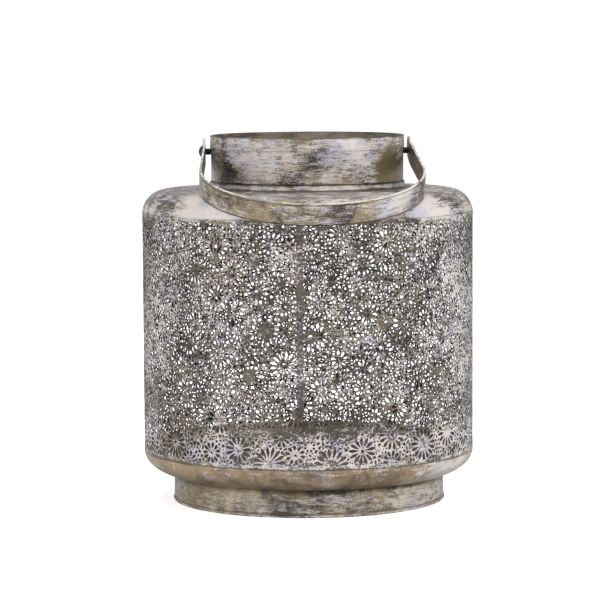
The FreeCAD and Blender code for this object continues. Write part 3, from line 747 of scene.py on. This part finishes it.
def add_sheet_map(mesh, spots, faces, rims):
    """A flat layout: the outside on the left, the inside on the right, edges in the holes."""
    start = spots[:, 0].min()
    width = spots[:, 0].max() - start
    span = max(2 * width, SLEEVE_HEIGHT) + 2 * WEB
    left = (spots - (start, 0) + (WEB / 2, WEB / 2)) / span
    right = left + (width / span + WEB / span, 0)
    step = spots[rims[:, 1]] - spots[rims[:, 0]]
    step = step / np.maximum(np.hypot(step[:, 0], step[:, 1]), SAME_POINT)[:, None]
    into_hole = np.stack([step[:, 1], -step[:, 0]], 1) * (WEB / 3 / span)
    first, last = left[rims[:, 0]], left[rims[:, 1]]
    walls = np.stack([last, first, first + into_hole, last + into_hole], 1)
    places = np.concatenate([
        left[faces].reshape(-1, 2), right[faces[:, ::-1]].reshape(-1, 2), walls.reshape(-1, 2)])
    layer = mesh.uv_layers.new(name="OFBake")
    layer.uv.foreach_set("vector", places.astype(np.float32).ravel())


def build_sleeve():
    """The whole pierced sheet, rolled up, in upright pieces."""
    field, depth = draw_sheet()
    loops = []
    for points, columns in trace_holes(field):
        if enclosed_area(points) > LEAST_HOLE_AREA:
            loops.append(thin_loop(points, columns))
    width = STRIP_COLUMNS * CELL
    points, edges = split_into_strips(loops, width)
    sheets = [
        triangulate_strip(points[k], edges[k], k * width, (k + 1) * width, field)
        for k in range(STRIPS)]
    share = STRIPS // PIECES
    for number in range(PIECES):
        chosen = sheets[number * share:(number + 1) * share]
        sleeve_piece(number + 1, np.concatenate(chosen), depth)


# Camera, light and floor, in metres

CAMERA_DISTANCE, CAMERA_HEIGHT = 2.460, 0.3949
CAMERA_TURN_DEG, CAMERA_PITCH_DEG, CAMERA_ROLL_DEG = 3.05, 5.42, 0.3
CAMERA_LENS, CAMERA_REACH = 169.83, 50
# Place, target, width and height, and power of each light
SOFTBOXES = {
    "key": ((1.7, -1.8, 1.5), (0, 0, 0.2), (1.3, 1.3), 42),
    "fill": ((-2.1, -1.3, 0.9), (0, 0, 0.18), (1.2, 1.6), 22),
    "top": ((0, 0.2, 2.3), (0, 0, 0.2), (1.8, 1.8), 30)}
ROOM_LIGHT, ROOM_STRENGTH = (0.97, 0.98, 1, 1), 0.55
BACKDROP, BACKDROP_STRENGTH = (1, 1, 1, 1), 1.1
FLOOR_HALF_WIDTH = 14
FLOOR_COLOUR, FLOOR_GLOW = (0.86, 0.86, 0.86, 1), 0.62


def add_camera():
    """The camera of the photograph, a little to the left of the front and slightly above."""
    turn, pitch = math.radians(CAMERA_TURN_DEG), math.radians(CAMERA_PITCH_DEG)
    lens = bpy.data.cameras.new("camera")
    lens.lens = CAMERA_LENS
    lens.clip_end = CAMERA_REACH
    camera = bpy.data.objects.new("camera", lens)
    bpy.context.scene.collection.objects.link(camera)
    camera.location = (
        -CAMERA_DISTANCE * math.sin(turn), -CAMERA_DISTANCE * math.cos(turn), CAMERA_HEIGHT)
    ahead = Vector((
        math.sin(turn) * math.cos(pitch), math.cos(turn) * math.cos(pitch), -math.sin(pitch)))
    roll = Matrix.Rotation(math.radians(-CAMERA_ROLL_DEG), 3, "Z")
    camera.rotation_euler = (ahead.to_track_quat("-Z", "Y").to_matrix() @ roll).to_euler()
    bpy.context.scene.camera = camera


def add_softbox(name, place, target, size, power):
    """A rectangular light that faces its target."""
    light = bpy.data.lights.new(name, "AREA")
    light.shape = "RECTANGLE"
    light.size, light.size_y = size
    light.energy = power
    lamp = bpy.data.objects.new(name, light)
    bpy.context.scene.collection.objects.link(lamp)
    lamp.location = place
    lamp.rotation_euler = (Vector(target) - Vector(place)).to_track_quat("-Z", "Y").to_euler()


def add_world():
    """Soft light from all round, and plain white where the camera looks past the lantern."""
    world = bpy.data.worlds.new("studio")
    bpy.context.scene.world = world
    world.use_nodes = True
    nodes, links = world.node_tree.nodes, world.node_tree.links
    light = nodes["Background"]
    white = nodes.new("ShaderNodeBackground")
    for node, colour, strength in (
            (light, ROOM_LIGHT, ROOM_STRENGTH), (white, BACKDROP, BACKDROP_STRENGTH)):
        node.inputs["Color"].default_value = colour
        node.inputs["Strength"].default_value = strength
    path = nodes.new("ShaderNodeLightPath")
    mix = nodes.new("ShaderNodeMixShader")
    links.new(path.outputs["Is Camera Ray"], mix.inputs[0])
    links.new(light.outputs[0], mix.inputs[1])
    links.new(white.outputs[0], mix.inputs[2])
    links.new(mix.outputs[0], nodes["World Output"].inputs["Surface"])


def add_floor():
    """A pale floor that goes white away from the lantern and keeps a soft shadow under it."""
    mesh = bpy.data.meshes.new("floor")
    corners = [
        (x * FLOOR_HALF_WIDTH, y * FLOOR_HALF_WIDTH, 0)
        for x, y in ((-1, -1), (1, -1), (1, 1), (-1, 1))]
    mesh.from_pydata(corners, [], [(0, 1, 2, 3)])
    floor = bpy.data.objects.new("floor", mesh)
    bpy.context.scene.collection.objects.link(floor)
    finish = Finish("pale_floor")
    finish.fill(
        finish.shader, Base_Color=FLOOR_COLOUR, Roughness=0.9, Specular_IOR_Level=0.1)
    glow = finish.add("ShaderNodeEmission")
    seen = finish.add("ShaderNodeLightPath").outputs["Is Camera Ray"]
    finish.fill(glow, Strength=finish.scalar("MULTIPLY", seen, FLOOR_GLOW))
    both = finish.fill(
        finish.add("ShaderNodeAddShader"), finish.shader.outputs[0], glow.outputs[0])
    finish.fill(finish.tree.nodes["Material Output"], Surface=both.outputs[0])
    mesh.materials.append(finish.material)


# Edges of the solids, in millimetres
WELD_REACH = 0.01
SOFT_EDGE, SOFT_EDGE_STEPS, SOFT_FROM_DEG = 0.3, 2, 60
# The neck keeps its own edges, so that the rim is exactly as high as it should be
OWN_EDGES = ("neck_collar",)


def dress_node(name, node):
    """Gives a solid its material and slightly rounded edges."""
    node.data.materials.clear()
    node.data.materials.append(NODE_MATERIALS.get(name, iron))
    weld = node.modifiers.new("weld", "WELD")
    weld.merge_threshold = WELD_REACH * MM
    if name not in OWN_EDGES:
        edge = node.modifiers.new("soft_edge", "BEVEL")
        edge.width = SOFT_EDGE * MM
        edge.segments = SOFT_EDGE_STEPS
        edge.limit_method = "ANGLE"
        edge.angle_limit = math.radians(SOFT_FROM_DEG)
        edge.harden_normals = True


build_sleeve()
bpy.context.scene.view_settings.view_transform = "Standard"
add_camera()
for name, settings in SOFTBOXES.items():
    add_softbox(name, *settings)
add_world()
add_floor()
for name, node in frame["nodes"].items():
    if name != "perforated_sleeve":
        dress_node(name, node)
